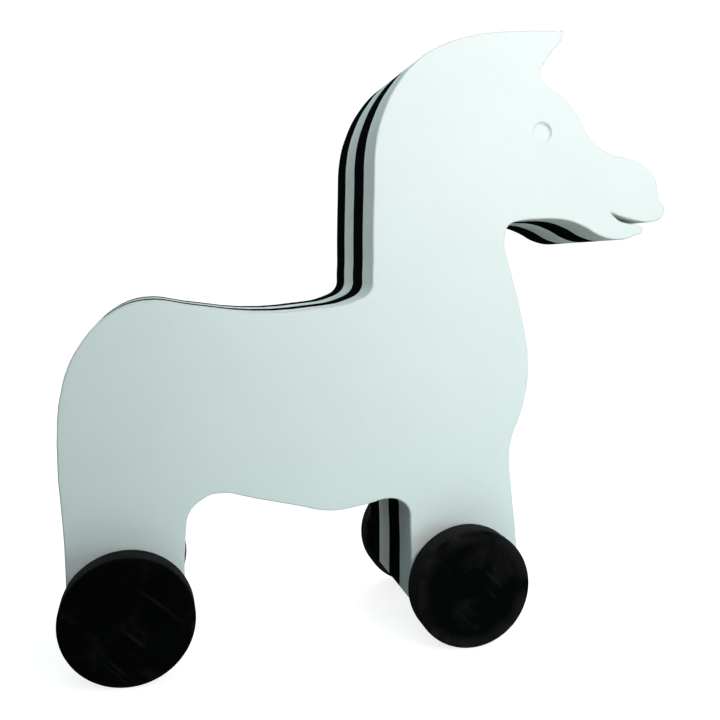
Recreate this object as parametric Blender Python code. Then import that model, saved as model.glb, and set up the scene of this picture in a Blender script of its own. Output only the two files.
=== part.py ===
"""Ride-on zebra toy: four glued foam boards cut to one animal outline, on two axles and four disc wheels.

The animal faces +X and stands on z = 0, with its middle plane at y = 0, so its right side is at -Y.
The origin is under the middle of its length. Every length is in metres.
"""

from math import cos, pi, sin

import bmesh
import bpy
from mathutils import Vector

# Clearances
GLUE_LINE = 0.0003  # between two boards, and between the two layers of a wheel
SEAT_GAP = 0.0003  # between a piece and the seat, bore or face that it touches
AXLE_CLEARANCE = 0.0003  # radial, between an axle and what it runs through

# Stance
WHEELBASE = 0.3415
WHEEL_DIAMETER = 0.125
WHEEL_WIDTH = 0.027
AXLE_ABOVE_SOLE = 0.017

# Foam boards
BOARD_THICKNESS = 0.040
BOARD_EDGE_RADIUS = 0.002
EYE_DIAMETER = 0.0222
EYE_DEPTH = 0.003
EYE_AHEAD_OF_THROAT = 0.0367
EYE_ABOVE_JAW = 0.0848

# Legs: reach behind and ahead of their axles
REAR_LEG_BACK = 0.0555
REAR_LEG_FRONT = 0.0545
FRONT_LEG_BACK = 0.0573
FRONT_LEG_FRONT = 0.064

# Body heights above the soles, and the neck and head that stand on the body
BELLY_ABOVE_SOLE = 0.101
SEAT_ABOVE_SOLE = 0.3034
NECK_BEHIND_FRONT_AXLE = 0.1018
NECK_WIDTH = 0.143
JAW_ABOVE_SEAT = 0.095
HEAD_HEIGHT = 0.1875
HEAD_LENGTH = 0.1845

# Axles and what carries them
AXLE_DIAMETER = 0.008
SLEEVE_DIAMETER = 0.014
BUSH_BARREL_LENGTH = 0.025
BUSH_FLANGE_DIAMETER = 0.028
BUSH_FLANGE_THICKNESS = 0.0015
THRUST_WASHER_DIAMETER = 0.022
THRUST_WASHER_THICKNESS = 0.001
AXLE_PAST_NUT = 0.001

# Wheels and hubs
FACE_LAYER_THICKNESS = 0.008
WHEEL_FACE_EDGE_RADIUS = 0.004
WHEEL_BACK_EDGE_RADIUS = 0.003
HUB_DIAMETER = 0.028
HUB_STANDOFF = 0.0003
HUB_FLOOR_THICKNESS = 0.006
HUB_FLANGE_DIAMETER = 0.042
HUB_FLANGE_THICKNESS = 0.002
NUT_POCKET_DIAMETER = 0.021
NUT_ACROSS_FLATS = 0.013
NUT_HEIGHT = 0.0065
NUT_WASHER_DIAMETER = 0.016
NUT_WASHER_THICKNESS = 0.0016

# Smoothness of the meshes
CURVE_STEPS = 3  # points for each stretch between two outline anchors
EDGE_STEPS = 2  # facets across a rounded edge
WHEEL_SIDES = 40
SMALL_SIDES = 20
NUT_SIDES = 12  # a multiple of 6, so that each corner of the hexagon is a point
EYE_BALL_SUBDIVISIONS = 4
SHARP_ANGLE = pi / 6  # an edge that turns further than this is drawn sharp
MERGE_DISTANCE = 1e-7
EDGE_ROOM = 0.8  # share of the room inside an outline point that its edge rounding may take
LEAST_MITRE = 0.5  # keeps the rounding at a sharp point from running far inwards

# Landmarks that follow from the sizes above
WHEEL_RADIUS = WHEEL_DIAMETER / 2
MUZZLE_AHEAD_OF_REAR_AXLE = WHEELBASE - NECK_BEHIND_FRONT_AXLE + NECK_WIDTH + HEAD_LENGTH
REAR_AXLE = (WHEEL_RADIUS - MUZZLE_AHEAD_OF_REAR_AXLE) / 2
FRONT_AXLE = REAR_AXLE + WHEELBASE
NECK_BACK = FRONT_AXLE - NECK_BEHIND_FRONT_AXLE
THROAT = NECK_BACK + NECK_WIDTH
SOLE = WHEEL_RADIUS - AXLE_ABOVE_SOLE
BELLY = SOLE + BELLY_ABOVE_SOLE
SEAT = SOLE + SEAT_ABOVE_SOLE
JAW = SEAT + JAW_ABOVE_SEAT
CROWN = JAW + HEAD_HEIGHT

BOARD_PITCH = BOARD_THICKNESS + GLUE_LINE
BODY_HALF_WIDTH = 2 * BOARD_THICKNESS + 1.5 * GLUE_LINE

# Distances out from the body's side face, along an axle
BUSH_FLANGE_OUTER = SEAT_GAP + BUSH_FLANGE_THICKNESS
THRUST_WASHER_INNER = BUSH_FLANGE_OUTER + SEAT_GAP
THRUST_WASHER_OUTER = THRUST_WASHER_INNER + THRUST_WASHER_THICKNESS
HUB_INNER = THRUST_WASHER_OUTER + SEAT_GAP
WHEEL_INNER = HUB_INNER + HUB_STANDOFF
WHEEL_OUTER = WHEEL_INNER + WHEEL_WIDTH
FACE_LAYER_INNER = WHEEL_OUTER - FACE_LAYER_THICKNESS
CORE_OUTER = FACE_LAYER_INNER - GLUE_LINE
HUB_FLANGE_INNER = CORE_OUTER - HUB_FLANGE_THICKNESS
POCKET_FLOOR = HUB_INNER + HUB_FLOOR_THICKNESS
NUT_WASHER_INNER = POCKET_FLOOR + SEAT_GAP
NUT_WASHER_OUTER = NUT_WASHER_INNER + NUT_WASHER_THICKNESS
NUT_INNER = NUT_WASHER_OUTER + SEAT_GAP
NUT_OUTER = NUT_INNER + NUT_HEIGHT
AXLE_END = NUT_OUTER + AXLE_PAST_NUT

AXLE_RADIUS = AXLE_DIAMETER / 2
AXLE_HOLE_RADIUS = AXLE_RADIUS + AXLE_CLEARANCE
SLEEVE_RADIUS = SLEEVE_DIAMETER / 2
BOARD_BORE_RADIUS = SLEEVE_RADIUS + SEAT_GAP


def clear_scene():
    for obj in list(bpy.data.objects):
        bpy.data.objects.remove(obj)


def linear(channel):
    """One sRGB channel, 0 to 1, as the linear value that shaders take."""
    return channel / 12.92 if channel <= 0.04045 else ((channel + 0.055) / 1.055) ** 2.4


def material(name, colour, roughness, metallic=0.0):
    made = bpy.data.materials.new(name)
    made.use_nodes = True
    shader = made.node_tree.nodes["Principled BSDF"]
    channels = [linear(int(colour[i : i + 2], 16) / 255) for i in (1, 3, 5)]
    shader.inputs["Base Color"].default_value = (*channels, 1.0)
    shader.inputs["Roughness"].default_value = roughness
    shader.inputs["Metallic"].default_value = metallic
    return made


def around(x, z, *offsets):
    """Smooth outline anchors at these offsets from a landmark."""
    return [(x + dx, z + dz, False) for dx, dz in offsets]


def corner(x, z):
    return [(x, z, True)]


def share(start, end, part):
    return start + (end - start) * part


def head_anchors():
    """The head from ear tip to throat, by shares of its length from the throat and height from the jaw."""

    def head(along, up, sharp=False):
        return (share(THROAT, THROAT + HEAD_LENGTH, along), share(JAW, CROWN, up), sharp)

    ear = [head(0.3135, 1.0, True), head(0.310, 0.968), head(0.233, 0.863), head(0.183, 0.757)]
    brow = [head(0.240, 0.692), head(0.328, 0.646), head(0.420, 0.554), head(0.499, 0.434)]
    nose = [head(0.631, 0.356), head(0.767, 0.331), head(0.862, 0.289), head(0.929, 0.225)]
    nostril = [head(0.957, 0.122), head(0.997, 0.059), head(0.983, 0.018)]
    upper_lip = [head(0.937, -0.010), head(0.763, 0.001)]
    mouth = [head(0.647, 0.032, True), head(0.697, -0.009), head(0.774, -0.028)]
    lower_lip = [head(0.831, -0.036), head(0.861, -0.060), head(0.799, -0.097), head(0.700, -0.119)]
    jaw = [head(0.572, -0.095), head(0.483, -0.052), head(0.363, -0.016), head(0.190, -0.014)]
    throat = [head(0.074, -0.027), head(0.017, -0.049), head(-0.008, -0.110)]
    return ear + brow + nose + nostril + upper_lip + mouth + lower_lip + jaw + throat


def outline_anchors():
    """Anchors of the animal's outline as (x, z, sharp), clockwise from the rear sole's back corner."""
    rear_leg_front = REAR_AXLE + REAR_LEG_FRONT
    front_leg_back = FRONT_AXLE - FRONT_LEG_BACK
    return [
        *corner(REAR_AXLE - REAR_LEG_BACK, SOLE),
        *around(REAR_AXLE - REAR_LEG_BACK, SOLE, (-0.0003, 0.087)),
        *around(REAR_AXLE, SEAT, (-0.0595, -0.123), (-0.053, -0.0672), (-0.0362, -0.0298)),
        *around(REAR_AXLE, SEAT, (-0.0101, -0.0029), (0.0222, 0.0089), (0.0657, 0.0044)),
        *around(share(REAR_AXLE, NECK_BACK, 0.53), SEAT, (-0.0001, -0.002)),
        *around(share(REAR_AXLE, NECK_BACK, 0.785), SEAT, (0.0001, 0.0019)),
        *around(NECK_BACK, SEAT, (-0.0163, 0.009), (-0.0015, 0.0189), (0.0005, 0.035), (0.0008, 0.075)),
        *around(NECK_BACK, CROWN, (0.0015, -0.163), (0.0035, -0.1182), (0.0111, -0.0899), (0.0254, -0.0622)),
        *around(NECK_BACK, CROWN, (0.0498, -0.0354), (0.0781, -0.0198), (0.1103, -0.0099)),
        *around(THROAT, CROWN, (0.0001, -0.0048)),
        *head_anchors(),
        *around(THROAT, SEAT, (0.0059, 0.0399), (0.0193, -0.0053)),
        *around(FRONT_AXLE, SEAT, (0.0701, -0.064), (0.0633, -0.1087)),
        *around(FRONT_AXLE, SOLE, (0.0531, 0.1661), (0.0508, 0.15), (0.0542, 0.1119)),
        *around(FRONT_AXLE + FRONT_LEG_FRONT, SOLE, (-0.0027, 0.0509)),
        *corner(FRONT_AXLE + FRONT_LEG_FRONT, SOLE),
        *corner(front_leg_back, SOLE),
        *around(front_leg_back, BELLY, (-0.0016, -0.0211), (-0.0036, -0.0031), (-0.0124, 0.006)),
        *around(front_leg_back, BELLY, (-0.0245, 0.0092), (-0.0482, 0.0046)),
        *around(share(rear_leg_front, front_leg_back, 0.63), BELLY, (0.0, 0.0004)),
        *around(share(rear_leg_front, front_leg_back, 0.47), BELLY, (0.0004, 0.0083)),
        *around(share(rear_leg_front, front_leg_back, 0.31), BELLY, (-0.0001, 0.0171)),
        *around(rear_leg_front, BELLY, (0.03, 0.025), (0.0158, 0.019), (0.0052, 0.0085), (0.0012, -0.0101)),
        *corner(rear_leg_front, SOLE),
    ]


def smooth_outline(anchors):
    """Points along the closed Bezier curve through the anchors."""
    curve = bpy.data.curves.new("outline", "CURVE")
    curve.dimensions = "2D"
    curve.fill_mode = "NONE"
    curve.resolution_u = CURVE_STEPS
    spline = curve.splines.new("BEZIER")
    spline.bezier_points.add(len(anchors) - 1)
    spline.use_cyclic_u = True
    for point, (x, z, sharp) in zip(spline.bezier_points, anchors):
        point.co = (x, z, 0)
        point.handle_left_type = "VECTOR" if sharp else "AUTO"
        point.handle_right_type = point.handle_left_type
    guide = bpy.data.objects.new("outline", curve)
    mesh = bpy.data.meshes.new_from_object(guide)
    points = [vertex.co.xy for vertex in mesh.vertices]
    bpy.data.objects.remove(guide)
    bpy.data.meshes.remove(mesh)
    return points


def inward_steps(points, depth):
    """The room for edge rounding at each point of a clockwise outline, and the step in that goes with it.

    A step stays within the largest circle that touches the outline there from inside, so that neither the
    ear tip nor a lip folds over itself.
    """
    steps = []
    for i, here in enumerate(points):
        before = (here - points[i - 1]).normalized()
        after = (points[(i + 1) % len(points)] - here).normalized()
        along = (before + after).normalized()
        inward = Vector((along.y, -along.x))
        room = depth
        for other in points:
            rise = inward.dot(other - here)
            if rise > 0:
                room = min(room, EDGE_ROOM * (other - here).length_squared / (2 * rise))
        mitre = max(along.dot(after), LEAST_MITRE)
        steps.append((room, inward * (room / mitre)))
    return steps


def board_mesh(name, outline, rounded_side):
    """A board centred on y = 0. rounded_side is -1 or 1 where that face has a rounded edge, else 0."""
    half = BOARD_THICKNESS / 2
    flat_y = -rounded_side * half if rounded_side else -half
    rings = [[(point.x, flat_y, point.y) for point in outline]]
    if rounded_side:
        steps = inward_steps(outline, BOARD_EDGE_RADIUS)
        for k in range(EDGE_STEPS + 1):
            angle = k / EDGE_STEPS * pi / 2
            ring = []
            for point, (radius, inward) in zip(outline, steps):
                x, z = point + inward * (1 - cos(angle))
                ring.append((x, rounded_side * (half - radius * (1 - sin(angle))), z))
            rings.append(ring)
    else:
        rings.append([(point.x, half, point.y) for point in outline])
    return skinned(name, rings, closed_tube=False)


def skinned(name, rings, closed_tube):
    """A mesh over rings of points. The last ring joins the first as a tube, or both ends are capped."""
    bm = bmesh.new()
    loops = [[bm.verts.new(point) for point in ring] for ring in rings]
    pairs = list(zip(loops, loops[1:]))
    if closed_tube:
        pairs.append((loops[-1], loops[0]))
    else:
        bm.faces.new(loops[0])
        bm.faces.new(loops[-1])
    for low, high in pairs:
        for i in range(len(low)):
            bm.faces.new((low[i - 1], low[i], high[i], high[i - 1]))
    bmesh.ops.remove_doubles(bm, verts=bm.verts, dist=MERGE_DISTANCE)
    bmesh.ops.recalc_face_normals(bm, faces=bm.faces)
    mesh = bpy.data.meshes.new(name)
    bm.to_mesh(mesh)
    bm.free()
    mesh.shade_smooth()
    mesh.set_sharp_from_angle(angle=SHARP_ANGLE)
    return mesh


def ring_of(radius, y, sides):
    """A ring round the Y axis whose flats, one of them lowest, lie on the true radius."""
    reach = radius / cos(pi / sides)
    angles = [2 * pi * (k + 0.5) / sides for k in range(sides)]
    return [(reach * sin(angle), y, -reach * cos(angle)) for angle in angles]


def turned(name, profile, sides):
    """A solid of revolution about Y from (radius, y) points. A first point on the axis makes it a disc."""
    on_axis = profile[0][0] == 0
    rings = [ring_of(radius, y, sides) for radius, y in profile if radius > 0]
    return skinned(name, rings, closed_tube=not on_axis)


def tube_profile(inner_radius, outer_radius, start, end):
    return [(inner_radius, start), (outer_radius, start), (outer_radius, end), (inner_radius, end)]


def rounded_corner(radius, y, edge_radius, outward):
    """Profile points from the rim in to the face at y, round a convex edge."""
    points = []
    for k in range(EDGE_STEPS + 1):
        angle = k / EDGE_STEPS * pi / 2
        inset = edge_radius * (1 - cos(angle))
        points.append((radius - inset, y - outward * edge_radius * (1 - sin(angle))))
    return points


def placed(name, mesh, place, parent=None):
    obj = bpy.data.objects.new(name, mesh)
    bpy.context.scene.collection.objects.link(obj)
    obj.location = place
    obj.parent = parent
    return obj


def node(name, mesh, place, finish, parent=None):
    obj = placed(name, mesh, place, parent)
    obj.data.materials.append(finish)
    return obj


def cutter(name, mesh, place):
    obj = placed(name, mesh, place)
    obj.hide_render = True
    obj.display_type = "WIRE"
    return obj


def cut(obj, tool):
    modifier = obj.modifiers.new(tool.name, "BOOLEAN")
    modifier.operation = "DIFFERENCE"
    modifier.object = tool


def bore_cutter(name, axle_x):
    """A rod right through the boards at an axle."""
    reach = 2 * BODY_HALF_WIDTH
    mesh = turned(name, [(0, -reach), (BOARD_BORE_RADIUS, -reach), (BOARD_BORE_RADIUS, reach)], SMALL_SIDES)
    return cutter(name, mesh, (axle_x, 0, WHEEL_RADIUS))


def eye_cutter(name, side):
    """A ball that dips into the side face and leaves a round dish."""
    ball_radius = ((EYE_DIAMETER / 2) ** 2 + EYE_DEPTH**2) / (2 * EYE_DEPTH)
    mesh = bpy.data.meshes.new(name)
    bm = bmesh.new()
    bmesh.ops.create_icosphere(bm, subdivisions=EYE_BALL_SUBDIVISIONS, radius=ball_radius)
    bm.to_mesh(mesh)
    bm.free()
    centre_y = side * (BODY_HALF_WIDTH - EYE_DEPTH + ball_radius)
    return cutter(name, mesh, (THROAT + EYE_AHEAD_OF_THROAT, centre_y, JAW + EYE_ABOVE_JAW))


def nut_ring(reach_at, y):
    """A ring of points round the Y axis whose distance from it follows the angle."""
    angles = [2 * pi * k / NUT_SIDES for k in range(NUT_SIDES)]
    return [(reach_at(angle) * sin(angle), y, -reach_at(angle) * cos(angle)) for angle in angles]


def hexagon_reach(angle):
    """Distance from the axis to the side of the nut's hexagon, one flat of which is lowest."""
    off_flat = (angle + pi / 6) % (pi / 3) - pi / 6
    return NUT_ACROSS_FLATS / 2 / cos(off_flat)


def bore_reach(angle):
    """The same distance all round, with the bore's flats outside the axle."""
    return AXLE_HOLE_RADIUS / cos(pi / NUT_SIDES)


def nut_mesh(name, side):
    """A hexagon nut with the axle's hole through it."""
    rings = [
        nut_ring(bore_reach, side * NUT_INNER),
        nut_ring(hexagon_reach, side * NUT_INNER),
        nut_ring(hexagon_reach, side * NUT_OUTER),
        nut_ring(bore_reach, side * NUT_OUTER),
    ]
    return skinned(name, rings, closed_tube=True)


def make_body(white_foam, black_foam):
    outline = smooth_outline(outline_anchors())
    bores = [bore_cutter("rear_bore", REAR_AXLE), bore_cutter("front_bore", FRONT_AXLE)]
    boards = (
        ("right_outer_board", white_foam, -1),
        ("right_inner_board", black_foam, 0),
        ("left_inner_board", white_foam, 0),
        ("left_outer_board", black_foam, 1),
    )
    for number, (name, foam, rounded_side) in enumerate(boards):
        y = -BODY_HALF_WIDTH + BOARD_THICKNESS / 2 + number * BOARD_PITCH
        board = node(name, board_mesh(name, outline, rounded_side), (0, y, 0), foam)
        for bore in bores:
            cut(board, bore)
        if rounded_side:
            cut(board, eye_cutter(name + "_eye", rounded_side))


def make_axle(end, axle_x, steel, nylon):
    """An axle rod right across, and the sleeve that lines its bore between the two bushes."""
    place = (axle_x, 0, WHEEL_RADIUS)
    reach = BODY_HALF_WIDTH + AXLE_END
    rod = turned(end + "_axle", [(0, -reach), (AXLE_RADIUS, -reach), (AXLE_RADIUS, reach)], SMALL_SIDES)
    node(end + "_axle", rod, place, steel)
    sleeve_reach = BODY_HALF_WIDTH - BUSH_BARREL_LENGTH - SEAT_GAP
    section = tube_profile(AXLE_HOLE_RADIUS, SLEEVE_RADIUS, -sleeve_reach, sleeve_reach)
    node(end + "_axle_sleeve", turned(end + "_axle_sleeve", section, SMALL_SIDES), place, nylon)


def make_fixed_hardware(corner_name, side, place, steel, nylon):
    """Bush, washers and nut at one end of an axle. place is on the axle, in the body's side face."""
    bush = [
        (AXLE_HOLE_RADIUS, -side * BUSH_BARREL_LENGTH),
        (SLEEVE_RADIUS, -side * BUSH_BARREL_LENGTH),
        (SLEEVE_RADIUS, side * SEAT_GAP),
        (BUSH_FLANGE_DIAMETER / 2, side * SEAT_GAP),
        (BUSH_FLANGE_DIAMETER / 2, side * BUSH_FLANGE_OUTER),
        (AXLE_HOLE_RADIUS, side * BUSH_FLANGE_OUTER),
    ]
    thrust_washer = tube_profile(
        AXLE_HOLE_RADIUS, THRUST_WASHER_DIAMETER / 2, side * THRUST_WASHER_INNER, side * THRUST_WASHER_OUTER
    )
    nut_washer = tube_profile(
        AXLE_HOLE_RADIUS, NUT_WASHER_DIAMETER / 2, side * NUT_WASHER_INNER, side * NUT_WASHER_OUTER
    )
    for piece, section, finish in (
        ("bush", bush, nylon),
        ("thrust_washer", thrust_washer, nylon),
        ("nut_washer", nut_washer, steel),
    ):
        name = f"{corner_name}_{piece}"
        node(name, turned(name, section, SMALL_SIDES), place, finish)
    name = f"{corner_name}_nut"
    node(name, nut_mesh(name, side), place, steel)


def make_wheel(corner_name, side, place, wheel_foam, nylon):
    """Hub, foam core and glued foam face of one wheel, on an empty that stands on the wheel's axis."""
    pivot = placed(corner_name + "_wheel_axis", None, place)
    hub_radius = HUB_DIAMETER / 2
    hub_flange_radius = HUB_FLANGE_DIAMETER / 2
    hub = [
        (AXLE_HOLE_RADIUS, side * HUB_INNER),
        (hub_radius, side * HUB_INNER),
        (hub_radius, side * HUB_FLANGE_INNER),
        (hub_flange_radius, side * HUB_FLANGE_INNER),
        (hub_flange_radius, side * CORE_OUTER),
        (NUT_POCKET_DIAMETER / 2, side * CORE_OUTER),
        (NUT_POCKET_DIAMETER / 2, side * POCKET_FLOOR),
        (AXLE_HOLE_RADIUS, side * POCKET_FLOOR),
    ]
    core = [
        (hub_radius + SEAT_GAP, side * WHEEL_INNER),
        *reversed(rounded_corner(WHEEL_RADIUS, side * WHEEL_INNER, WHEEL_BACK_EDGE_RADIUS, -side)),
        (WHEEL_RADIUS, side * CORE_OUTER),
        (hub_flange_radius + SEAT_GAP, side * CORE_OUTER),
        (hub_flange_radius + SEAT_GAP, side * (HUB_FLANGE_INNER - SEAT_GAP)),
        (hub_radius + SEAT_GAP, side * (HUB_FLANGE_INNER - SEAT_GAP)),
    ]
    face = [
        (0, side * FACE_LAYER_INNER),
        (WHEEL_RADIUS, side * FACE_LAYER_INNER),
        *rounded_corner(WHEEL_RADIUS, side * WHEEL_OUTER, WHEEL_FACE_EDGE_RADIUS, side),
    ]
    for piece, section, sides, finish in (
        ("hub", hub, SMALL_SIDES, nylon),
        ("wheel_core", core, WHEEL_SIDES, wheel_foam),
        ("wheel_face", face, WHEEL_SIDES, wheel_foam),
    ):
        name = f"{corner_name}_{piece}"
        node(name, turned(name, section, sides), (0, 0, 0), finish, pivot)


def main():
    clear_scene()
    white_foam = material("white closed-cell foam", "#E6F3F1", 0.75)
    black_foam = material("black closed-cell foam", "#141617", 0.7)
    wheel_foam = material("dense black wheel foam", "#0D0E0F", 0.6)
    steel = material("zinc-plated steel", "#B9BDC1", 0.35, 1.0)
    nylon = material("natural nylon", "#D9D8D0", 0.5)
    make_body(white_foam, black_foam)
    for end, axle_x in (("rear", REAR_AXLE), ("front", FRONT_AXLE)):
        make_axle(end, axle_x, steel, nylon)
        for side_name, side in (("right", -1), ("left", 1)):
            corner_name = f"{end}_{side_name}"
            place = (axle_x, side * BODY_HALF_WIDTH, WHEEL_RADIUS)
            make_fixed_hardware(corner_name, side, place, steel, nylon)
            make_wheel(corner_name, side, place, wheel_foam, nylon)


main()
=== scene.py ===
"""Looks of the ride-on zebra: four glued foam boards on foam disc wheels, in a pale studio."""

from math import atan, cos, pi, sin, tan

import bmesh
import bpy
from mathutils import Matrix, Vector


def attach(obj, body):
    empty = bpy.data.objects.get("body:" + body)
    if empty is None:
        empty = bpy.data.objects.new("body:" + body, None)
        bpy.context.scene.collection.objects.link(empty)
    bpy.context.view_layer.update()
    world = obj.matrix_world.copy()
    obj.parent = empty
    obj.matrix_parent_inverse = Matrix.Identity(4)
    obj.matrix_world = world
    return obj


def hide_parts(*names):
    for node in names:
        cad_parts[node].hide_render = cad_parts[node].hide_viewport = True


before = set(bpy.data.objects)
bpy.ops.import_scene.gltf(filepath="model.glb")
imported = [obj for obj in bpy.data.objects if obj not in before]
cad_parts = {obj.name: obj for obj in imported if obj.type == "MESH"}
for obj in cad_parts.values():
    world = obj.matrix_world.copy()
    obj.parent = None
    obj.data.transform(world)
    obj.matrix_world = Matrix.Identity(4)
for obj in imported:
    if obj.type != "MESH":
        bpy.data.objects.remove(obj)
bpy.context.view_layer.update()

# Sizes in metres, the same as the CAD's. x runs to the head, y to the animal's left, z up.
BODY_HALF_WIDTH = 0.08045
GLUE_PLANES = (-0.0403, 0.0, 0.0403)  # y of the three glue lines
WHEEL_RADIUS = 0.0625
REAR_AXLE = -0.25235
FRONT_AXLE = 0.08915

# The boards' edges.
ROLL_RADIUS = 0.002  # rounded edge of the two outer boards' outer faces
ROLL_STEPS = 6
GLUE_EDGE_RADIUS = 0.0005  # each board's edge along a glue line
GLUE_EDGE_STEPS = 3
CORNER_TURN = pi / 4  # the outline is sharp where it turns further than this
OUTLINE_STEPS = 4  # how many stretches each step of the CAD's outline is split into
LONG_SPAN = 0.016  # the outline keeps a step longer than this straight,
SPAN_GUARD = 0.004  # with a point this far from each of its ends
EDGE_ROOM = 0.8  # how much of the room in a tight inside curve an edge's rounding takes
LEAST_MITRE = 0.5  # keeps the rounding's step short at a sharp corner
SUPPORT_STEP = 1.12  # a ring this many times as far in as the rounding keeps the flat face flat

# The eye, a tilted dish.
EYE_CENTRE = (0.16705, 0.5287)
EYE_RADIUS = 0.0111
EYE_DEPTH = 0.0044  # of the floor's plane below the rim; the dish is 3.6 mm deep, 2.5 mm in its middle
EYE_TILT = 0.42  # it is deepest up and forwards, and runs out on the other side
EYE_LEAN = 1.0  # where it is deepest, in radians up from the head's direction
EYE_WALL_POWER = 7.5  # the higher, the steeper the wall and the flatter the floor
EYE_RIM_RADIUS = 0.0003
EYE_MARGIN = 0.0012  # flat ring round the rim
EYE_SIDES = 72
EYE_WALL_CUT_AND_SHADE = 0.85  # how much of the cut edge's look the wall has, its greyer colour there being painted shade, and how much the floor has
EYE_FLOOR_CUT = 0.1  # and how much the floor has

# The turned pieces.
LATHE_SIDES = 160
FILLET_STEPS = 7
PATH_RADIUS = 0.001  # of the circle that a section is swept round
GUARD_REACH = 1.15  # a fillet has a guard point this many radii from its corner on each side
GUARD_ROOM = 2.5  # where the next corner is at least this many radii away
SAME_PLACE = 1e-6  # points nearer than this are one

STUDIO_RADIUS = 9.0
# The camera as solved from the photograph's wheel rims and board edges.
CAMERA_PLACE = (-0.227943, -0.868376, 0.385181)
CAMERA_TURN = (0.252824, 0.105474, 0.004789)  # yaw to the right, pitch down and roll, in radians
CAMERA_LENS = 41.126  # millimetres, on a 36 mm sensor


# ---------------------------------------------------------------- finishes


def rgb(code):
    """A colour written as sRGB hex, for a node's linear socket."""
    channels = [int(code[i : i + 2], 16) / 255 for i in (1, 3, 5)]
    return [c / 12.92 if c <= 0.04045 else ((c + 0.055) / 1.055) ** 2.4 for c in channels] + [1.0]


def per_mm(size):
    """The scale that gives a pattern features of this size in millimetres on Object coordinates."""
    return 1000.0 / size


def add(tree, kind, links=(), **settings):
    """Adds a node. links gives a socket its value or another node's output, settings are properties."""
    made = tree.nodes.new(kind)
    for name, value in settings.items():
        setattr(made, name, value)
    for socket, value in dict(links).items():
        if isinstance(value, bpy.types.NodeSocket):
            tree.links.new(value, made.inputs[socket])
        else:
            made.inputs[socket].default_value = value
    return made


def new_finish(name, **sockets):
    """A material, its node tree and its Principled shader. Each socket named here has an even value."""
    finish = bpy.data.materials.new(name)
    finish.use_nodes = True
    tree = finish.node_tree
    shader = tree.nodes["Principled BSDF"]
    for socket, value in sockets.items():
        shader.inputs[socket.replace("_", " ")].default_value = value
    return finish, tree, shader


def closed_cell_foam(name, skin, cut, fresh_cut, grime, roughness, specular):
    """Closed-cell foam sheet: a fine even skin on the flat faces, opened cells and saw lines on cut edges.

    The eye sees one clean colour with hardly any clouding, a cut edge that is a touch greyer and
    mottled, and a trace of grime low on the legs. roughness and specular each give the skin's value
    and the cut edge's. The boards' attribute "cut" is 1 on a cut edge and 0 on the skin; in the eye
    dish it also carries painted shade, the greyer cut colour laid on the wall, most on its upper
    forward side. Their UV map "edge" runs along the edge.
    """
    finish, tree, shader = new_finish(name)
    place = add(tree, "ShaderNodeTexCoord").outputs["Object"]
    along = add(tree, "ShaderNodeUVMap", uv_map="edge").outputs["UV"]
    cut_and_eye_shade = add(tree, "ShaderNodeAttribute", attribute_name="cut").outputs["Fac"]
    clouds = add(
        tree, "ShaderNodeTexNoise", {"Vector": place, "Scale": per_mm(90), "Detail": 2.0, "Roughness": 0.5}
    ).outputs["Fac"]
    mottle = add(
        tree, "ShaderNodeTexNoise", {"Vector": place, "Scale": per_mm(7), "Detail": 4.0, "Roughness": 0.6}
    ).outputs["Fac"]
    cells = add(
        tree, "ShaderNodeTexVoronoi", {"Vector": place, "Scale": per_mm(0.9)}, feature="SMOOTH_F1"
    ).outputs["Distance"]
    stretched = add(
        tree, "ShaderNodeMapping", {"Vector": along, "Scale": (per_mm(1.6), per_mm(60), 1.0)}
    ).outputs["Vector"]
    saw = add(tree, "ShaderNodeTexNoise", {"Vector": stretched, "Scale": 1.0, "Detail": 2.0}).outputs["Fac"]

    # The colour: skin or cut edge, then grime.
    clouding = add(
        tree,
        "ShaderNodeMapRange",
        {"Value": clouds, "From Min": 0.3, "From Max": 0.7, "To Min": 0.975, "To Max": 1.0},
    ).outputs["Result"]
    skin_colour = add(
        tree, "ShaderNodeMix", {0: 1.0, 6: rgb(skin), 7: clouding}, data_type="RGBA", blend_type="MULTIPLY"
    ).outputs[2]
    cut_colour = add(
        tree, "ShaderNodeMix", {0: mottle, 6: rgb(cut), 7: rgb(fresh_cut)}, data_type="RGBA"
    ).outputs[2]
    # On the eye dish's wall the cut colour is painted shade.
    body = add(tree, "ShaderNodeMix", {0: cut_and_eye_shade, 6: skin_colour, 7: cut_colour}, data_type="RGBA").outputs[2]

    height = add(tree, "ShaderNodeSeparateXYZ", {"Vector": place}).outputs["Z"]
    low = add(
        tree,
        "ShaderNodeMapRange",
        {"Value": height, "From Min": 0.045, "From Max": 0.13, "To Min": 0.3, "To Max": 0.02},
    ).outputs["Result"]
    blotches = add(
        tree, "ShaderNodeMapRange", {"Value": mottle, "From Min": 0.5, "From Max": 0.75}
    ).outputs["Result"]
    soiled = add(tree, "ShaderNodeMath", {0: low, 1: blotches}, operation="MULTIPLY").outputs[0]
    colour = add(tree, "ShaderNodeMix", {0: soiled, 6: body, 7: rgb(grime)}, data_type="RGBA").outputs[2]
    tree.links.new(colour, shader.inputs["Base Color"])

    # The shine and the relief.
    for socket, (on_skin, on_edge) in (("Roughness", roughness), ("Specular IOR Level", specular)):
        level = add(tree, "ShaderNodeMapRange", {"Value": cut_and_eye_shade, "To Min": on_skin, "To Max": on_edge})
        tree.links.new(level.outputs["Result"], shader.inputs[socket])

    saw_height = add(tree, "ShaderNodeMath", {0: saw, 1: cut_and_eye_shade}, operation="MULTIPLY").outputs[0]
    pits = add(
        tree, "ShaderNodeBump", {"Height": cells, "Strength": 0.3, "Distance": 0.0001}
    ).outputs["Normal"]
    lines = add(
        tree, "ShaderNodeBump", {"Height": saw_height, "Strength": 0.5, "Distance": 0.0002, "Normal": pits}
    ).outputs["Normal"]
    waves = add(
        tree, "ShaderNodeBump", {"Height": clouds, "Strength": 0.2, "Distance": 0.001, "Normal": lines}
    ).outputs["Normal"]
    tree.links.new(waves, shader.inputs["Normal"])
    return finish


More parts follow.
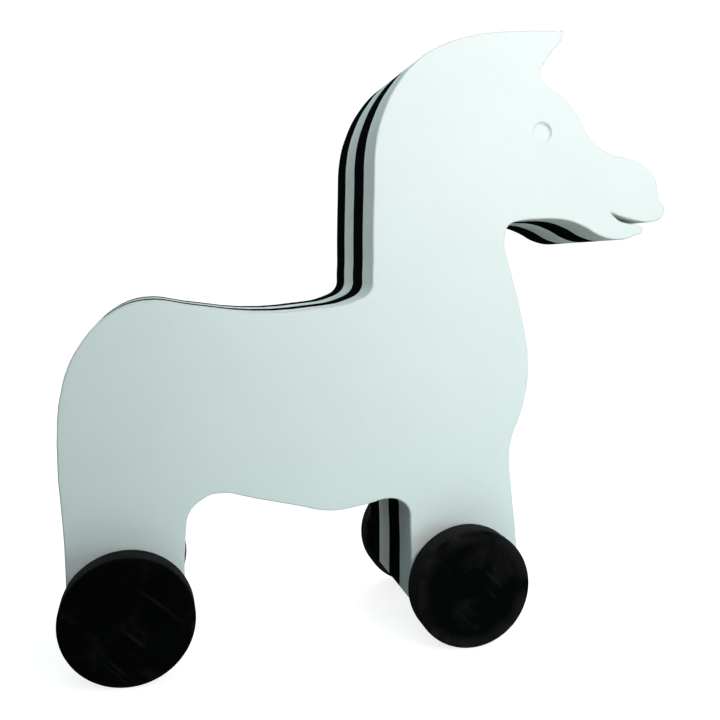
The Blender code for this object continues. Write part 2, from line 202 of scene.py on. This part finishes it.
def from_axle(tree, place):
    """How far a point is from the nearer axle's line, for the dust and painted sheen at a wheel's rim."""
    middle = ((REAR_AXLE + FRONT_AXLE) / 2, 0, WHEEL_RADIUS)
    offset = add(tree, "ShaderNodeVectorMath", {0: place, 1: middle}, operation="SUBTRACT").outputs["Vector"]
    axes = add(tree, "ShaderNodeSeparateXYZ", {"Vector": offset}).outputs
    either = add(tree, "ShaderNodeMath", {0: axes["X"]}, operation="ABSOLUTE").outputs[0]
    along = add(
        tree, "ShaderNodeMath", {0: either, 1: (FRONT_AXLE - REAR_AXLE) / 2}, operation="SUBTRACT"
    ).outputs[0]
    flat = add(tree, "ShaderNodeCombineXYZ", {"X": along, "Z": axes["Z"]}).outputs["Vector"]
    return add(tree, "ShaderNodeVectorMath", {0: flat}, operation="LENGTH").outputs["Value"]


def dense_wheel_foam():
    """Dense black foam rubber, moulded: near black and even on the face, a grey tread that is scuffs and
    painted sheen.

    The eye sees an almost black disc with a few faint smudges and slanted rubs, dust and painted sheen
    at the front wheels' rims, and a tread a shade lighter with scuffs and painted sheen.
    """
    finish, tree, shader = new_finish("dense black wheel foam", Specular_IOR_Level=0.02)
    place = add(tree, "ShaderNodeTexCoord").outputs["Object"]
    broad = add(
        tree,
        "ShaderNodeTexNoise",
        {"Vector": place, "Scale": per_mm(38), "Detail": 4.0, "Roughness": 0.6, "Distortion": 0.6},
    ).outputs["Fac"]
    # Dust and painted sheen at the rims, lighter on the front wheels.
    rim = add(
        tree, "ShaderNodeMapRange", {"Value": from_axle(tree, place), "From Min": 0.046, "From Max": 0.062}
    ).outputs["Result"]
    fore = add(tree, "ShaderNodeSeparateXYZ", {"Vector": place}).outputs["X"]
    more_at_front = add(
        tree,
        "ShaderNodeMapRange",
        {"Value": fore, "From Min": -0.15, "From Max": 0.05, "To Min": 0.05, "To Max": 0.8},
    ).outputs["Result"]
    rim_dust_and_sheen = add(tree, "ShaderNodeMath", {0: rim, 1: more_at_front}, operation="MULTIPLY").outputs[0]
    patchy = add(
        tree, "ShaderNodeMapRange", {"Value": broad, "From Min": 0.35, "From Max": 0.6}
    ).outputs["Result"]
    settled_dust_and_sheen = add(tree, "ShaderNodeMath", {0: rim_dust_and_sheen, 1: patchy}, operation="MULTIPLY").outputs[0]
    slanted = add(
        tree,
        "ShaderNodeMapping",
        {"Vector": place, "Rotation": (0, -0.8, 0), "Scale": (0.008, 1.0, 0.06)},
        vector_type="TEXTURE",
    ).outputs["Vector"]
    streaks = add(
        tree, "ShaderNodeTexNoise", {"Vector": slanted, "Scale": 1.0, "Detail": 1.0}
    ).outputs["Fac"]
    fine = add(
        tree, "ShaderNodeTexNoise", {"Vector": place, "Scale": per_mm(1.4), "Detail": 2.0}
    ).outputs["Fac"]
    cells = add(
        tree, "ShaderNodeTexVoronoi", {"Vector": place, "Scale": per_mm(0.6)}, feature="SMOOTH_F1"
    ).outputs["Distance"]
    dust = add(
        tree, "ShaderNodeMapRange", {"Value": broad, "From Min": 0.52, "From Max": 0.8, "To Max": 0.6}
    ).outputs["Result"]
    rubbed = add(
        tree, "ShaderNodeMapRange", {"Value": streaks, "From Min": 0.66, "From Max": 0.8, "To Max": 0.5}
    ).outputs["Result"]
    smudges = add(tree, "ShaderNodeMath", {0: dust, 1: rubbed}, operation="MAXIMUM").outputs[0]
    # The smudges and rubs, with the rims' dust and painted sheen.
    marks = add(tree, "ShaderNodeMath", {0: smudges, 1: settled_dust_and_sheen}, operation="MAXIMUM").outputs[0]
    face = add(
        tree, "ShaderNodeMix", {0: marks, 6: rgb("#020303"), 7: rgb("#232423")}, data_type="RGBA"
    ).outputs[2]
    normal = add(tree, "ShaderNodeNewGeometry").outputs["Normal"]
    across = add(tree, "ShaderNodeSeparateXYZ", {"Vector": normal}).outputs["Y"]
    sideways = add(tree, "ShaderNodeMath", {0: across}, operation="ABSOLUTE").outputs[0]
    # The tread's lighter grey is scuffs and painted sheen.
    tread = add(
        tree, "ShaderNodeMapRange", {"Value": sideways, "From Min": 0.7, "From Max": 0.1, "To Max": 0.8}
    ).outputs["Result"]
    scuffs_and_sheen = add(
        tree, "ShaderNodeMix", {0: broad, 6: rgb("#151616"), 7: rgb("#2A2B2B")}, data_type="RGBA"
    ).outputs[2]
    colour = add(tree, "ShaderNodeMix", {0: tread, 6: face, 7: scuffs_and_sheen}, data_type="RGBA").outputs[2]
    tree.links.new(colour, shader.inputs["Base Color"])
    roughness = add(
        tree,
        "ShaderNodeMapRange",
        {"Value": fine, "From Min": 0.3, "From Max": 0.7, "To Min": 0.55, "To Max": 0.75},
    ).outputs["Result"]
    tree.links.new(roughness, shader.inputs["Roughness"])
    bump = add(tree, "ShaderNodeBump", {"Height": cells, "Strength": 0.3, "Distance": 0.0001})
    tree.links.new(bump.outputs["Normal"], shader.inputs["Normal"])
    return finish


def zinc_plated_steel():
    """Zinc plate on rolled steel: bright grey, a faint blue and straw cast, a fine grain."""
    finish, tree, shader = new_finish("zinc-plated steel", Metallic=1.0)
    place = add(tree, "ShaderNodeTexCoord").outputs["Object"]
    cast = add(
        tree, "ShaderNodeTexNoise", {"Vector": place, "Scale": per_mm(6), "Detail": 3.0}
    ).outputs["Fac"]
    fine = add(
        tree, "ShaderNodeTexNoise", {"Vector": place, "Scale": per_mm(0.5), "Detail": 2.0}
    ).outputs["Fac"]
    colour = add(tree, "ShaderNodeMix", {0: cast, 6: rgb("#B2BAC4"), 7: rgb("#C2BFB4")}, data_type="RGBA")
    tree.links.new(colour.outputs[2], shader.inputs["Base Color"])
    roughness = add(
        tree, "ShaderNodeMapRange", {"Value": fine, "To Min": 0.25, "To Max": 0.5}
    ).outputs["Result"]
    tree.links.new(roughness, shader.inputs["Roughness"])
    bump = add(tree, "ShaderNodeBump", {"Height": fine, "Strength": 0.2, "Distance": 0.00003})
    tree.links.new(bump.outputs["Normal"], shader.inputs["Normal"])
    return finish


def natural_nylon():
    """Undyed nylon as turned from rod: milky cream, slightly translucent, fine tooling marks."""
    finish, tree, shader = new_finish("natural nylon", Subsurface_Weight=0.15, Subsurface_Scale=0.002)
    place = add(tree, "ShaderNodeTexCoord").outputs["Object"]
    milk = add(
        tree, "ShaderNodeTexNoise", {"Vector": place, "Scale": per_mm(5), "Detail": 3.0}
    ).outputs["Fac"]
    marks = add(
        tree, "ShaderNodeTexNoise", {"Vector": place, "Scale": per_mm(0.4), "Detail": 1.0}
    ).outputs["Fac"]
    colour = add(tree, "ShaderNodeMix", {0: milk, 6: rgb("#D3D1C6"), 7: rgb("#DFDED8")}, data_type="RGBA")
    tree.links.new(colour.outputs[2], shader.inputs["Base Color"])
    roughness = add(
        tree, "ShaderNodeMapRange", {"Value": marks, "To Min": 0.4, "To Max": 0.6}
    ).outputs["Result"]
    tree.links.new(roughness, shader.inputs["Roughness"])
    bump = add(tree, "ShaderNodeBump", {"Height": marks, "Strength": 0.2, "Distance": 0.00004})
    tree.links.new(bump.outputs["Normal"], shader.inputs["Normal"])
    return finish


white_foam = closed_cell_foam(
    "white closed-cell foam", "#DCF1EE", "#CBD6D3", "#DDE7E4", "#9C9E97", (0.8, 0.9), (0.2, 0.1)
)
black_foam = closed_cell_foam(
    "black closed-cell foam", "#1A1C1D", "#090A0A", "#121314", "#33312E", (0.5, 0.85), (0.4, 0.0)
)
wheel_foam = dense_wheel_foam()
steel = zinc_plated_steel()
nylon = natural_nylon()


# ---------------------------------------------------------------- boards


def cad_outline():
    """The outline that the four boards share, as (x, z) points clockwise, from the CAD's inner board."""
    bm = bmesh.new()
    bm.from_mesh(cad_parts["right_inner_board"].data)
    bmesh.ops.remove_doubles(bm, verts=bm.verts, dist=SAME_PLACE)
    side = min(v.co.y for v in bm.verts)
    beside = {}
    for edge in bm.edges:
        a, b = edge.verts
        on_side = abs(a.co.y - side) < 1e-5 and abs(b.co.y - side) < 1e-5
        if on_side and any(abs(face.normal.y) < 0.5 for face in edge.link_faces):
            beside.setdefault(a, []).append(b)
            beside.setdefault(b, []).append(a)
    loops = []
    while beside:
        start = next(iter(beside))
        loop, here = [start], beside.pop(start)[0]
        while here is not start:
            following = [v for v in beside.pop(here) if v is not loop[-1]][0]
            loop.append(here)
            here = following
        loops.append([Vector((v.co.x, v.co.z)) for v in loop])
    outline = max(loops, key=len)
    bm.free()
    area = sum(a.x * b.y - b.x * a.y for a, b in zip(outline, outline[1:] + outline[:1]))
    return outline if area < 0 else outline[::-1]


def turn_at(before, here, after):
    """How far a path turns at a point, from 0 on a straight."""
    return (here - before).angle(after - here, 0.0)


def smoothed(outline):
    """The outline along a Bezier through the CAD's points, inside the CAD's box.

    It is sharp at the soles, the ear tip and the mouth.
    """
    anchors = []
    for i, here in enumerate(outline):
        after = outline[(i + 1) % len(outline)]
        sharp = turn_at(outline[i - 1], here, after) > CORNER_TURN
        anchors.append((here, sharp))
        span = (after - here).length
        if span > LONG_SPAN:
            part = SPAN_GUARD / span
            anchors += [(here.lerp(after, part), False), (after.lerp(here, part), False)]
    curve = bpy.data.curves.new("outline", "CURVE")
    curve.dimensions = "2D"
    curve.fill_mode = "NONE"
    curve.resolution_u = OUTLINE_STEPS
    spline = curve.splines.new("BEZIER")
    spline.bezier_points.add(len(anchors) - 1)
    spline.use_cyclic_u = True
    for point, (place, sharp) in zip(spline.bezier_points, anchors):
        point.co = (place.x, place.y, 0)
        point.handle_left_type = point.handle_right_type = "VECTOR" if sharp else "AUTO"
    guide = bpy.data.objects.new("outline", curve)
    mesh = bpy.data.meshes.new_from_object(guide)
    low, high = [[pick(point[i] for point in outline) for i in (0, 1)] for pick in (min, max)]
    points = [
        Vector([min(max(vertex.co[i], low[i]), high[i]) for i in (0, 1)]) for vertex in mesh.vertices
    ]
    bpy.data.objects.remove(guide)
    bpy.data.meshes.remove(mesh)
    return points


def inward_steps(points, depth):
    """At each point of a clockwise outline, the room for edge rounding and the step inwards.

    The room is less than depth where the outline comes back near itself, as in the mouth slot.
    """
    steps = []
    for i, here in enumerate(points):
        before = (here - points[i - 1]).normalized()
        after = (points[(i + 1) % len(points)] - here).normalized()
        along = (before + after).normalized()
        inward = Vector((along.y, -along.x))
        room = depth
        for other in points:
            gap = other - here
            rise = inward.dot(gap)
            if rise > 0:
                room = min(room, EDGE_ROOM * gap.length_squared / (2 * rise))
        steps.append((room, inward * (1 / max(along.dot(after), LEAST_MITRE))))
    return steps


def edge_rings(steps, y, side, radius, count):
    """Rings round an edge: (points, cut) from the wall to the flat that looks towards side."""
    rings = []
    for k in range(count + 1):
        angle = k / count * pi / 2
        ring = []
        for point, (room, inward) in zip(outline, steps):
            r = min(radius, room)
            x, z = point + inward * (r * (1 - cos(angle)))
            ring.append((x, y - side * r * (1 - sin(angle)), z))
        rings.append((ring, cos(angle)))
    return rings


def eye_rings(y, side):
    """Rings of the dished eye: (points, cut) from the flat round its rim down its wall to its floor; the
    wall's cut values are painted shade as well.
    """
    slope = atan(EYE_WALL_POWER * EYE_DEPTH / EYE_RADIUS)
    outer = EYE_RADIUS + EYE_RIM_RADIUS * tan(slope / 2)
    profile = [(outer + EYE_MARGIN, 0.0, 0.0)]
    for k in range(5):
        turn = slope * k / 4
        depth = EYE_RIM_RADIUS * (1 - cos(turn))
        profile.append((outer - EYE_RIM_RADIUS * sin(turn), depth, EYE_WALL_CUT_AND_SHADE * k / 4))
    for part in (0.97, 0.94, 0.91, 0.87, 0.83, 0.78, 0.71, 0.62, 0.5, 0.35, 0.18):
        steep = part**EYE_WALL_POWER
        cut = EYE_FLOOR_CUT + (EYE_WALL_CUT_AND_SHADE - EYE_FLOOR_CUT) * steep
        profile.append((EYE_RADIUS * part, EYE_DEPTH * (1 - steep), cut))
    rings = []
    for radius, depth, cut in profile:
        ring, cuts_and_shade = [], []
        for k in range(EYE_SIDES):
            angle = 2 * pi * k / EYE_SIDES
            x, z = EYE_CENTRE[0] + radius * cos(angle), EYE_CENTRE[1] + radius * sin(angle)
            lean = 1 - EYE_TILT + EYE_TILT * min(radius / EYE_RADIUS, 1.0) * cos(angle - EYE_LEAN)
            ring.append((x, y - side * depth * lean, z))
            # The cut, and the wall's painted shade with it, is strongest where the dish is deepest, up and
            # forwards.
            cuts_and_shade.append(cut * lean)
        rings.append((ring, cuts_and_shade))
    return rings


def board_piece(node, low, high, low_radius, high_radius, eye_side, finish):
    """One board between y = low and y = high, its two edges rounded.

    eye_side is -1 or 1 where the eye is dished in the face that looks that way along y, otherwise 0.
    """
    low_count = ROLL_STEPS if low_radius == ROLL_RADIUS else GLUE_EDGE_STEPS
    high_count = ROLL_STEPS if high_radius == ROLL_RADIUS else GLUE_EDGE_STEPS
    rings = edge_rings(steps, low, -1, low_radius, low_count)[::-1]
    rings += edge_rings(steps, high, 1, high_radius, high_count)
    bm = bmesh.new()
    edge_uv = bm.loops.layers.uv.new("edge")
    cut = bm.verts.layers.float.new("cut")

    def lay(ring, values):
        made = [bm.verts.new(point) for point in ring]
        for v, value in zip(made, values):
            v[cut] = value
        return made

    walls = [lay(ring, [value] * len(ring)) for ring, value in rings]
    count = len(outline)
    run = [0.0]
    for i in range(count):
        run.append(run[-1] + (outline[(i + 1) % count] - outline[i]).length)
    across = [ring[0][0][1] for ring in rings]
    for k in range(len(walls) - 1):
        for i in range(count):
            j = (i + 1) % count
            face = bm.faces.new((walls[k][i], walls[k][j], walls[k + 1][j], walls[k + 1][i]))
            corners = ((i, k), (i + 1, k), (i + 1, k + 1), (i, k + 1))
            for loop, (along, over) in zip(face.loops, corners):
                loop[edge_uv].uv = (run[along], across[over])
    for side, wall, radius in ((-1, walls[0], low_radius), (1, walls[-1], high_radius)):
        flat_y = low if side < 0 else high
        support = []
        for point, (room, inward) in zip(outline, steps):
            x, z = point + inward * (min(radius, room) * SUPPORT_STEP)
            support.append((x, flat_y, z))
        inner = lay(support, [0.0] * count)
        for i in range(count):
            j = (i + 1) % count
            bm.faces.new((wall[i], wall[j], inner[j], inner[i]))
        rim_edges = [bm.edges.get((inner[i], inner[(i + 1) % count])) for i in range(count)]
        if side == eye_side:
            dish = [lay(ring, cuts_and_shade) for ring, cuts_and_shade in eye_rings(flat_y, side)]
            for a, b in zip(dish, dish[1:]):
                for i in range(EYE_SIDES):
                    j = (i + 1) % EYE_SIDES
                    bm.faces.new((a[i], a[j], b[j], b[i]))
            depth = EYE_DEPTH * (1 - EYE_TILT)
            floor = bm.verts.new((EYE_CENTRE[0], flat_y - side * depth, EYE_CENTRE[1]))
            floor[cut] = EYE_FLOOR_CUT
            last = dish[-1]
            for i in range(EYE_SIDES):
                bm.faces.new((last[i], last[(i + 1) % EYE_SIDES], floor))
            first = dish[0]
            rim_edges += [
                bm.edges.get((first[i], first[(i + 1) % EYE_SIDES])) for i in range(EYE_SIDES)
            ]
        bmesh.ops.triangle_fill(bm, use_beauty=True, use_dissolve=False, edges=rim_edges)
    bmesh.ops.recalc_face_normals(bm, faces=bm.faces)
    mesh = bpy.data.meshes.new(node + "_foam")
    bm.to_mesh(mesh)
    bm.free()
    mesh.shade_smooth()
    mesh.set_sharp_from_angle(angle=CORNER_TURN)
    mesh.materials.append(finish)
    piece = bpy.data.objects.new(node + "_foam", mesh)
    bpy.context.scene.collection.objects.link(piece)
    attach(piece, "body")
    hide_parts(node)
    return piece


outline = smoothed(cad_outline())
steps = inward_steps(outline, ROLL_RADIUS)
for node, low, high, low_radius, high_radius, eye_side, finish, slot in (
    (
        "right_outer_board", -BODY_HALF_WIDTH, GLUE_PLANES[0], ROLL_RADIUS, GLUE_EDGE_RADIUS, -1,
        white_foam, "white_foam",
    ),
    (
        "right_inner_board", GLUE_PLANES[0], GLUE_PLANES[1], GLUE_EDGE_RADIUS, GLUE_EDGE_RADIUS, 0,
        black_foam, "black_foam",
    ),
    (
        "left_inner_board", GLUE_PLANES[1], GLUE_PLANES[2], GLUE_EDGE_RADIUS, GLUE_EDGE_RADIUS, 0,
        white_foam, "white_foam",
    ),
    (
        "left_outer_board", GLUE_PLANES[2], BODY_HALF_WIDTH, GLUE_EDGE_RADIUS, ROLL_RADIUS, 1,
        black_foam, "black_foam",
    ),
):
    board_piece(node, low, high, low_radius, high_radius, eye_side, finish)


# ---------------------------------------------------------------- turned pieces


def turning_tree():
    """Geometry nodes that turn a section about its axle: x of the section is radius, y runs along it."""
    tree = bpy.data.node_groups.new("turned about an axle", "GeometryNodeTree")
    ports = {}
    for name, kind in (
        ("Section", "Geometry"),
        ("Sides", "Int"),
        ("Fillet steps", "Int"),
        ("Path radius", "Float"),
        ("Axle", "Vector"),
        ("Finish", "Material"),
    ):
        port = tree.interface.new_socket(name, in_out="INPUT", socket_type="NodeSocket" + kind)
        ports[name] = port.identifier
    tree.interface.new_socket("Turned", in_out="OUTPUT", socket_type="NodeSocketGeometry")
    given = add(tree, "NodeGroupInput").outputs
    radius = add(tree, "GeometryNodeInputRadius").outputs["Radius"]
    filleted = add(
        tree,
        "GeometryNodeFilletCurve",
        {"Curve": given["Section"], "Count": given["Fillet steps"], "Radius": radius},
        mode="POLY",
    ).outputs["Curve"]
    path = add(
        tree,
        "GeometryNodeCurvePrimitiveCircle",
        {"Resolution": given["Sides"], "Radius": given["Path radius"]},
    ).outputs["Curve"]
    turned = add(
        tree, "GeometryNodeCurveToMesh", {"Curve": path, "Profile Curve": filleted}
    ).outputs["Mesh"]
    placed = add(
        tree,
        "GeometryNodeTransform",
        {"Geometry": turned, "Translation": given["Axle"], "Rotation": (pi / 2, 0, 0)},
    ).outputs["Geometry"]
    merged = add(
        tree, "GeometryNodeMergeByDistance", {"Geometry": placed, "Distance": SAME_PLACE}
    ).outputs["Geometry"]
    smooth = add(tree, "GeometryNodeSetShadeSmooth", {"Geometry": merged}).outputs["Geometry"]
    real = add(tree, "GeometryNodeRealizeInstances", {"Geometry": smooth}).outputs["Geometry"]
    finished = add(
        tree, "GeometryNodeSetMaterial", {"Geometry": real, "Material": given["Finish"]}
    ).outputs["Geometry"]
    add(tree, "NodeGroupOutput", {"Turned": finished})
    return tree, ports


def section_curve(name, section, closed, side):
    """The section as a poly curve whose point radius is the fillet.

    The guard points beside a fillet keep its radius from fading along the section.
    """
    points = []
    count = len(section)
    for i, (r, out, fillet) in enumerate(section):
        here = Vector((r, out))
        guards = [None, None]
        for which, step in enumerate((-1, 1)):
            if fillet and (closed or 0 <= i + step < count):
                other = Vector(section[(i + step) % count][:2])
                reach = (other - here).length
                if reach > GUARD_ROOM * fillet:
                    guards[which] = here.lerp(other, (fillet * GUARD_REACH) / reach)
        if guards[0]:
            points.append((guards[0], 0.0))
        points.append((here, fillet))
        if guards[1]:
            points.append((guards[1], 0.0))
    curve = bpy.data.curves.new(name, "CURVE")
    curve.dimensions = "3D"
    spline = curve.splines.new("POLY")
    spline.points.add(len(points) - 1)
    spline.use_cyclic_u = closed
    for point, (place, fillet) in zip(spline.points, points):
        y = side * (BODY_HALF_WIDTH + place.y / 1000)
        point.co = (place.x / 1000 - PATH_RADIUS, y, 0, 1)
        point.radius = fillet / 1000
    return curve


def turned_piece(name, section, closed, side, axle_x, finish, body, node):
    """Turns a section about the axle at axle_x, on the right (side -1) or the left (side 1)."""
    tree, ports = turning
    guide = bpy.data.objects.new(name, section_curve(name, section, closed, side))
    bpy.context.scene.collection.objects.link(guide)
    modifier = guide.modifiers.new("turning", "NODES")
    modifier.node_group = tree
    modifier[ports["Sides"]] = LATHE_SIDES
    modifier[ports["Fillet steps"]] = FILLET_STEPS
    modifier[ports["Path radius"]] = PATH_RADIUS
    modifier[ports["Axle"]] = (axle_x, 0, WHEEL_RADIUS)
    modifier[ports["Finish"]] = finish
    graph = bpy.context.evaluated_depsgraph_get()
    mesh = bpy.data.meshes.new_from_object(guide.evaluated_get(graph), depsgraph=graph)
    bpy.data.objects.remove(guide)
    bm = bmesh.new()
    bm.from_mesh(mesh)
    bmesh.ops.recalc_face_normals(bm, faces=bm.faces)
    bm.to_mesh(mesh)
    bm.free()
    mesh.set_sharp_from_angle(angle=CORNER_TURN)
    mesh.name = name
    piece = bpy.data.objects.new(name, mesh)
    bpy.context.scene.collection.objects.link(piece)
    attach(piece, body)
    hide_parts(node)
    return piece


turning = turning_tree()
# Each section is a list of (radius, distance out from the side face, fillet) in millimetres.
WHEEL_CORE = [
    (14.3, 3.7, 0), (62.5, 3.7, 3.0), (62.5, 22.55, 0.4), (21.3, 22.55, 0), (21.3, 20.1, 0), (14.3, 20.1, 0)
]
WHEEL_FACE = [(0, 22.55, 0), (62.5, 22.55, 0.4), (62.5, 30.7, 4.0), (0, 30.7, 0)]
HUB = [
    (4.3, 3.4, 0), (14.0, 3.4, 0.4), (14.0, 20.4, 0), (21.0, 20.4, 0), (21.0, 22.4, 0), (10.5, 22.4, 0),
    (10.5, 9.4, 0), (4.3, 9.4, 0),
]
BUSH = [(4.3, -25.0, 0), (7.0, -25.0, 0.4), (7.0, 0.3, 0), (14.0, 0.3, 0), (14.0, 1.8, 0.4), (4.3, 1.8, 0)]
THRUST_WASHER = [(4.3, 2.1, 0), (11.0, 2.1, 0.2), (11.0, 3.1, 0.2), (4.3, 3.1, 0)]
for end, axle_x in (("rear", REAR_AXLE), ("front", FRONT_AXLE)):
    for side_name, side in (("right", -1), ("left", 1)):
        corner = f"{end}_{side_name}"
        wheel = corner + "_wheel"
        for part, section, closed, finish, slot, body, node in (
            ("core_foam", WHEEL_CORE, True, wheel_foam, "wheel_foam", wheel, "wheel_core"),
            ("face_foam", WHEEL_FACE, False, wheel_foam, "wheel_foam", wheel, "wheel_face"),
            ("turned_hub", HUB, True, nylon, "nylon", wheel, "hub"),
            ("turned_bush", BUSH, True, nylon, "nylon", "body", "bush"),
            ("turned_washer", THRUST_WASHER, True, nylon, "nylon", "body", "thrust_washer"),
        ):
            turned_piece(
                f"{corner}_{part}", section, closed, side, axle_x, finish, body, f"{corner}_{node}"
            )

for name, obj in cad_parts.items():
    if name.endswith(("_axle", "_nut", "_nut_washer")):
        obj.material_slots[0].material = steel
    elif name.endswith("_axle_sleeve"):
        obj.material_slots[0].material = nylon


# ---------------------------------------------------------------- studio


def studio_floor():
    """A pale floor that fades into the white backdrop and shows a faint contact shadow by the wheels."""
    floor_finish, tree, shader = new_finish("pale studio floor", Roughness=0.9, Specular_IOR_Level=0.0)
    shader.inputs["Base Color"].default_value = rgb("#B4B6B6")
    shader.inputs["Emission Color"].default_value = (1, 1, 1, 1)
    place = add(tree, "ShaderNodeTexCoord").outputs["Object"]
    away = add(tree, "ShaderNodeVectorMath", {0: place}, operation="LENGTH").outputs["Value"]
    glow = add(
        tree,
        "ShaderNodeMapRange",
        {"Value": away, "From Min": 0.45, "From Max": 1.6, "To Min": 0.8, "To Max": 1.05},
        interpolation_type="SMOOTHSTEP",
    ).outputs["Result"]
    tree.links.new(glow, shader.inputs["Emission Strength"])
    bm = bmesh.new()
    bmesh.ops.create_circle(bm, cap_ends=True, radius=STUDIO_RADIUS, segments=96)
    mesh = bpy.data.meshes.new("studio_floor")
    bm.to_mesh(mesh)
    bm.free()
    mesh.materials.append(floor_finish)
    floor = bpy.data.objects.new("studio_floor", mesh)
    bpy.context.scene.collection.objects.link(floor)
    floor.visible_diffuse = False
    floor.visible_glossy = False
    floor.visible_shadow = False


def studio_backdrop():
    """A white dome far outside, seen by the camera alone."""
    finish, tree, shader = new_finish("white backdrop", Emission_Strength=1.05, Specular_IOR_Level=0.0)
    shader.inputs["Base Color"].default_value = (0, 0, 0, 1)
    shader.inputs["Emission Color"].default_value = (1, 1, 1, 1)
    bm = bmesh.new()
    bmesh.ops.create_uvsphere(bm, u_segments=48, v_segments=24, radius=STUDIO_RADIUS)
    bmesh.ops.reverse_faces(bm, faces=bm.faces)
    mesh = bpy.data.meshes.new("studio_backdrop")
    bm.to_mesh(mesh)
    bm.free()
    mesh.materials.append(finish)
    dome = bpy.data.objects.new("studio_backdrop", mesh)
    bpy.context.scene.collection.objects.link(dome)
    dome.visible_diffuse = False
    dome.visible_glossy = False
    dome.visible_shadow = False
    dome.visible_transmission = False


def surroundings(below, above, strength):
    """Soft light from all round, from the colour below the horizon to the colour overhead."""
    world = bpy.data.worlds.new("studio")
    bpy.context.scene.world = world
    world.use_nodes = True
    tree = world.node_tree
    direction = add(tree, "ShaderNodeTexCoord").outputs["Generated"]
    height = add(tree, "ShaderNodeSeparateXYZ", {"Vector": direction}).outputs["Z"]
    part = add(
        tree, "ShaderNodeMapRange", {"Value": height, "From Min": -0.8, "From Max": 0.8}
    ).outputs["Result"]
    colour = add(tree, "ShaderNodeMix", {"Factor": part}, data_type="RGBA")
    colour.inputs[6].default_value = below
    colour.inputs[7].default_value = above
    background = tree.nodes["Background"]
    background.inputs["Strength"].default_value = strength
    tree.links.new(colour.outputs[2], background.inputs["Color"])


def soft_box(name, place, towards, size, power, colour):
    """A soft box lamp, in watts, that looks from place to towards."""
    lamp = bpy.data.lights.new(name, "AREA")
    lamp.shape = "RECTANGLE"
    lamp.size, lamp.size_y = size
    lamp.energy = power
    lamp.color = colour
    obj = bpy.data.objects.new(name, lamp)
    obj.location = place
    obj.rotation_euler = (Vector(towards) - Vector(place)).to_track_quat("-Z", "Y").to_euler()
    bpy.context.scene.collection.objects.link(obj)


def photo_camera():
    """The camera at the photograph's place and angle."""
    yaw, pitch, roll = CAMERA_TURN
    forward = Vector((sin(yaw) * cos(pitch), cos(yaw) * cos(pitch), -sin(pitch)))
    level = Vector((cos(yaw), -sin(yaw), 0))
    upright = level.cross(forward)
    right = level * cos(roll) + upright * sin(roll)
    up = upright * cos(roll) - level * sin(roll)
    data = bpy.data.cameras.new("photo_camera")
    data.lens = CAMERA_LENS
    data.sensor_width = 36.0
    data.clip_start = 0.05
    data.clip_end = 60.0
    camera = bpy.data.objects.new("photo_camera", data)
    turned = Matrix((right, up, -forward)).transposed().to_4x4()
    camera.matrix_world = Matrix.Translation(CAMERA_PLACE) @ turned
    bpy.context.scene.collection.objects.link(camera)
    bpy.context.scene.camera = camera


studio_floor()
studio_backdrop()
surroundings((0.055, 0.06, 0.059, 1), (0.079, 0.1, 0.098, 1), 1.0)
for name, place, towards, size, power, colour in (
    # The side that the photograph shows: brightest at the head, fading to the hind leg.
    ("key", (0.34, -0.9, 0.87), (0.1, 0.0, 0.9), (0.35, 0.35), 5.6, (1.0, 0.745, 0.775)),
    ("neck_key", (0.0, -0.885, 0.6), (0.5, 0.0, 0.75), (0.45, 0.45), 2.6, (1.0, 0.79, 0.8)),
    ("top_fill", (-0.45, -0.5, 1.15), (-0.15, 0.0, 0.3), (0.7, 0.5), 1.75, (0.45, 0.95, 1.0)),
    ("overhead", (-0.1, -0.1, 1.8), (-0.1, 0.0, 0.0), (1.6, 1.6), 5.0, (0.8, 1.0, 0.95)),
    ("low_fill", (0.1, -0.45, -0.45), (-0.1, 0.0, 0.15), (0.9, 0.6), 2.1, (0.88, 1.0, 0.97)),
    ("front_fill", (0.55, -0.75, 0.1), (0.12, -0.08, 0.15), (0.5, 0.5), 2.4, (0.83, 1.0, 0.98)),
    # The board edges behind the neck, the edges round the face, and the side away from the camera.
    ("tail_side", (-1.4, 0.4, 0.7), (0.0, 0.0, 0.3), (1.1, 1.1), 5.3, (1.0, 0.89, 0.91)),
    ("head_side", (1.4, 0.5, 0.75), (0.1, 0.0, 0.35), (1.1, 1.1), 7.0, (1.0, 0.98, 0.98)),
    ("far_side", (0.3, 1.6, 0.85), (0.0, 0.0, 0.3), (1.6, 1.2), 24.0, (1.0, 1.0, 1.0)),
):
    soft_box(name, place, towards, size, power, colour)
photo_camera()
bpy.context.scene.view_settings.view_transform = "Standard"
